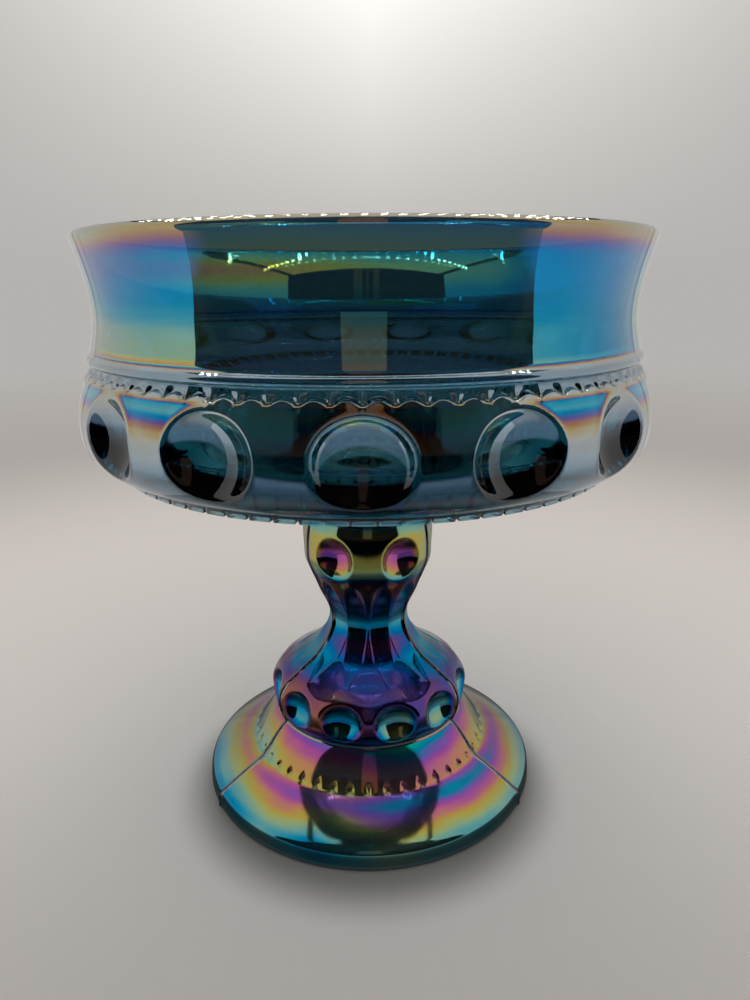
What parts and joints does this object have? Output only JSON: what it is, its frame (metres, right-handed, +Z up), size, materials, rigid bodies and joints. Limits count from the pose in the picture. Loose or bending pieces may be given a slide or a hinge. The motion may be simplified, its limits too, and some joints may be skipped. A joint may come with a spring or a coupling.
{
  "type": "footed glass compote",
  "caption": "Iridescent pressed glass footed bowl: flared rim band, round dished belly, knopped fluted stem and stepped domed foot.",
  "frame": {"origin": "centre of the foot's resting circle, on the table", "axes": "+Z up along the axis of the stem and bowl, -Y towards the front, where one large belly print faces the viewer, +X to the viewer's right"},
  "size_m": [0.1932, 0.1923, 0.203],
  "materials": {
    "bowl_glass": "iridescent film over dark teal blue pressed glass",
    "wafer_glass": "iridescent film over dark teal blue glass",
    "pedestal_glass": "strong iridescent film over dark teal blue pressed glass"
  },
  "bodies": {
    "root": {"bowl": "bowl_glass", "joining_wafer": "wafer_glass", "pedestal": "pedestal_glass"}
  },
  "joints": []
}
